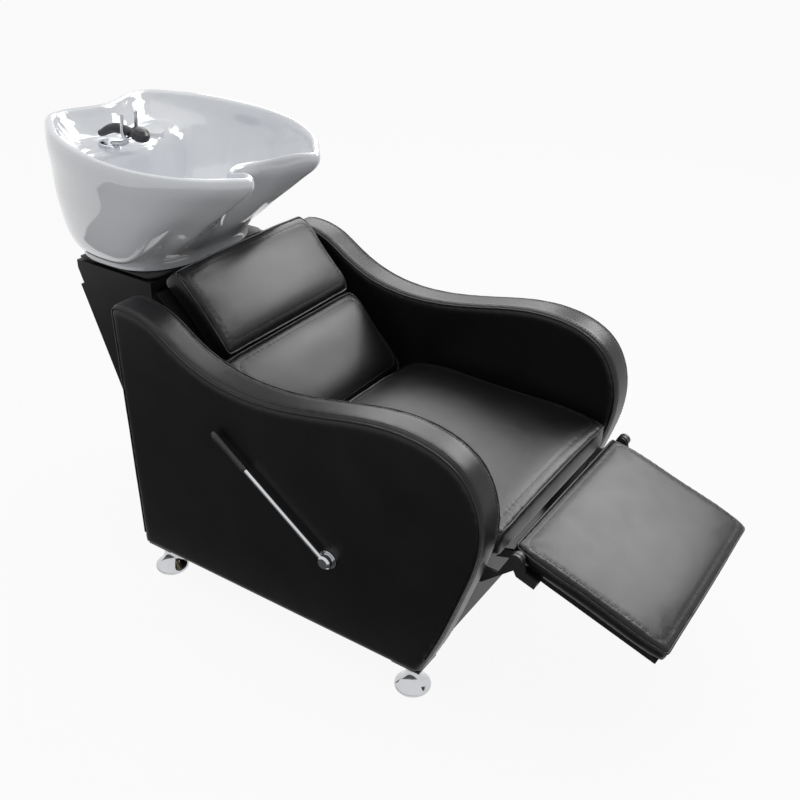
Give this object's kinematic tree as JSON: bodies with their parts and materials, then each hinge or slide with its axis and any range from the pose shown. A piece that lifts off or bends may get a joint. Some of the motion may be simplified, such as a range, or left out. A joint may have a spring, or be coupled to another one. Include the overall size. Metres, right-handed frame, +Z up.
{
  "type": "salon shampoo station",
  "caption": "Upholstered shampoo chair with rolled arms, a lever-worked leg rest and a tilting ceramic neck basin on a rear pedestal.",
  "frame": {"origin": "on the floor, on the chair's centre plane, below the seat", "axes": "+X to the sitter's left, +Y to the rear (towards the basin), +Z up"},
  "size_m": [0.6708, 1.5255, 0.9562],
  "materials": {
    "leatherette": "smooth satin upholstery",
    "plywood": "bare plywood",
    "black_steel": "satin black powder coat",
    "chrome": "polished",
    "rubber": "matt",
    "ceramic": "white glaze",
    "black_plastic": "satin",
    "nylon": "white, satin",
    "brass": "satin"
  },
  "bodies": {
    "station": {"access_panel_screws": "black_steel", "arm_left_board": "plywood", "arm_left_pad": "leatherette", "arm_right_board": "plywood", "arm_right_pad": "leatherette", "back_battens": "plywood", "back_board": "leatherette", "back_cushion_lower": "leatherette", "back_cushion_upper": "leatherette", "bowl_bumpers": "rubber", "foot_front_left": "chrome", "foot_front_right": "chrome", "foot_glides": "rubber", "foot_plates": "black_steel", "foot_rear_left": "chrome", "foot_rear_right": "chrome", "front_apron": "leatherette", "front_cross_rail": "plywood", "leg_bracket_left": "black_steel", "leg_bracket_right": "black_steel", "leg_pivot_pins": "black_steel", "lever_bush": "nylon", "lever_escutcheon": "chrome", "lever_hanger": "black_steel", "lower_cross_rail": "plywood", "mixing_valve": "brass", "pedestal_left_panel": "leatherette", "pedestal_right_panel": "leatherette", "pedestal_top": "leatherette", "rear_access_panel": "leatherette", "seat_cleats": "plywood", "seat_cushion": "leatherette", "seat_deck": "leatherette", "tilt_bracket": "black_steel", "tilt_pin": "black_steel", "upper_cross_rail": "plywood"},
    "leg_rest": {"leg_rest_board": "leatherette", "leg_rest_pad": "leatherette", "leg_hinge_right": "black_steel", "leg_hinge_left": "black_steel", "leg_drive_pin": "black_steel", "leg_hinge_screws": "black_steel", "leg_drive_bracket": "black_steel"},
    "lever": {"lever_shaft": "chrome", "lever_hub": "chrome", "lever_rod": "chrome", "lever_grip": "black_plastic", "lever_crank": "black_steel", "crank_pin": "black_steel"},
    "push_rod": {"push_rod": "black_steel"},
    "basin": {"bowl": "ceramic", "bowl_cradle": "black_steel", "bowl_gasket": "rubber", "drain_flange": "chrome", "drain_gasket": "rubber", "drain_nut": "black_plastic", "handset_fork": "chrome", "tap_hole_cap": "nylon"},
    "strainer": {"drain_strainer": "chrome"},
    "hand_shower": {"handset": "black_plastic"}
  },
  "joints": [
    {"name": "leg_rest_hinge", "type": "hinge", "parent": "station", "child": "leg_rest", "pos_m": [0, -0.463, 0.375], "axis": [1, 0, 0], "range_deg": [-18, 72]},
    {"name": "lever_hinge", "type": "hinge", "parent": "station", "child": "lever", "pos_m": [-0.287, -0.108, 0.268], "axis": [1, 0, 0], "range_deg": [-18, 72]},
    {"name": "push_rod_hinge", "type": "hinge", "parent": "lever", "child": "push_rod", "pos_m": [-0.115, -0.15116, 0.20106], "axis": [1, 0, 0], "range_deg": [-72, 18]},
    {"name": "basin_tilt", "type": "hinge", "parent": "station", "child": "basin", "pos_m": [0, 0.687, 0.6443], "axis": [1, 0, 0], "range_deg": [-12, 0]},
    {"name": "strainer_lift", "type": "slide", "parent": "basin", "child": "strainer", "axis": [0, -0.0889, 0.996], "range_m": [0, 0.12]},
    {"name": "hand_shower_lift", "type": "slide", "parent": "basin", "child": "hand_shower", "axis": [0, -0.0889, 0.996], "range_m": [0, 0.12]}
  ],
  "couplings": [
    {"joint": "lever_hinge", "follows": "leg_rest_hinge", "ratio": 1},
    {"joint": "push_rod_hinge", "follows": "leg_rest_hinge", "ratio": -1}
  ]
}
